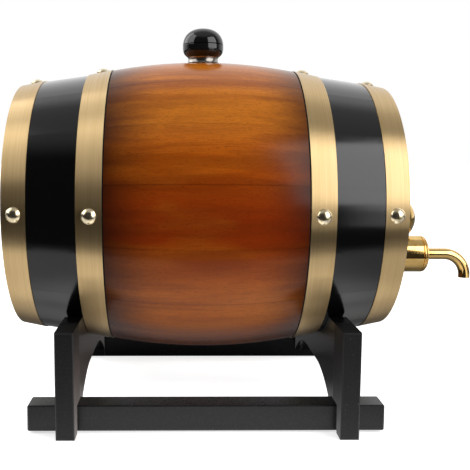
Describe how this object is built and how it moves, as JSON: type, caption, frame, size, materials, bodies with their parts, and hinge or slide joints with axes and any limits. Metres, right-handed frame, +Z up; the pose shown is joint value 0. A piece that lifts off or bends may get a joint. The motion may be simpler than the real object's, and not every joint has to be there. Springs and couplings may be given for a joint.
{
  "type": "oak cask liquor dispenser",
  "caption": "Small hooped wooden cask on a black cradle, with a ball-topped bung to fill it and a quarter-turn tap with a bent spout to pour.",
  "frame": {"origin": "middle of the object's length and width, on the surface its feet stand on", "axes": "+X along the cask towards the tap, +Y across away from the side shown, +Z up"},
  "size_m": [0.337, 0.215, 0.2723],
  "materials": {
    "lacquered_oak": "orange-brown stain under gloss lacquer, with black lacquered bands between the hoops",
    "head_oak": "orange-brown stain under gloss lacquer",
    "brushed_brass": "antique brass, brushed along the band",
    "polished_brass": "polished",
    "gold_plate": "polished gold plate",
    "plain_brass": "turned",
    "seal_rubber": "moulded",
    "black_gloss": "moulded gloss",
    "bright_chrome": "polished",
    "silicone": "moulded translucent silicone",
    "steel": "plain",
    "black_paint": "matte black paint over wood"
  },
  "bodies": {
    "stand": {"cradle_front": "black_paint", "cradle_rear": "black_paint", "rail_near": "black_paint", "rail_far": "black_paint", "rail_screws": "steel"},
    "cask": {"stave_01": "lacquered_oak", "stave_02": "lacquered_oak", "stave_03": "lacquered_oak", "stave_04": "lacquered_oak", "stave_05": "lacquered_oak", "stave_06": "lacquered_oak", "stave_07": "lacquered_oak", "stave_08": "lacquered_oak", "stave_09": "lacquered_oak", "stave_10": "lacquered_oak", "stave_11": "lacquered_oak", "stave_12": "lacquered_oak", "stave_13": "lacquered_oak", "stave_14": "lacquered_oak", "stave_15": "lacquered_oak", "stave_16": "lacquered_oak", "head_front_board_1": "head_oak", "head_front_board_2": "head_oak", "head_front_board_3": "head_oak", "head_rear_board_1": "head_oak", "head_rear_board_2": "head_oak", "head_rear_board_3": "head_oak", "hoop_chime_front": "brushed_brass", "nails_chime_front": "polished_brass", "hoop_quarter_front": "brushed_brass", "nails_quarter_front": "polished_brass", "hoop_quarter_rear": "brushed_brass", "nails_quarter_rear": "polished_brass", "hoop_chime_rear": "brushed_brass", "nails_chime_rear": "polished_brass", "tap_body": "gold_plate", "tap_nose": "gold_plate", "tap_spout": "gold_plate", "tap_gasket_outer": "seal_rubber", "tap_gasket_inner": "seal_rubber", "tap_nut": "plain_brass", "valve_bonnet": "gold_plate"},
    "bung": {"bung_ball_cap": "black_gloss", "bung_ball_base": "black_gloss", "bung_collar": "bright_chrome", "bung_stopper": "silicone", "bung_screw": "steel"},
    "tap_valve": {"valve_plug": "plain_brass", "valve_seals": "seal_rubber", "valve_knob": "gold_plate"}
  },
  "joints": [
    {"name": "cask_lift", "type": "slide", "parent": "stand", "child": "cask", "axis": [0, 0, 1], "range_m": [0, 0.08]},
    {"name": "bung_pull", "type": "slide", "parent": "cask", "child": "bung", "axis": [0, 0, 1], "range_m": [0, 0.05]},
    {"name": "tap_turn", "type": "hinge", "parent": "cask", "child": "tap_valve", "pos_m": [0.10648, 0, 0.1044], "axis": [0, 0, 1], "range_deg": [0, 90]}
  ]
}
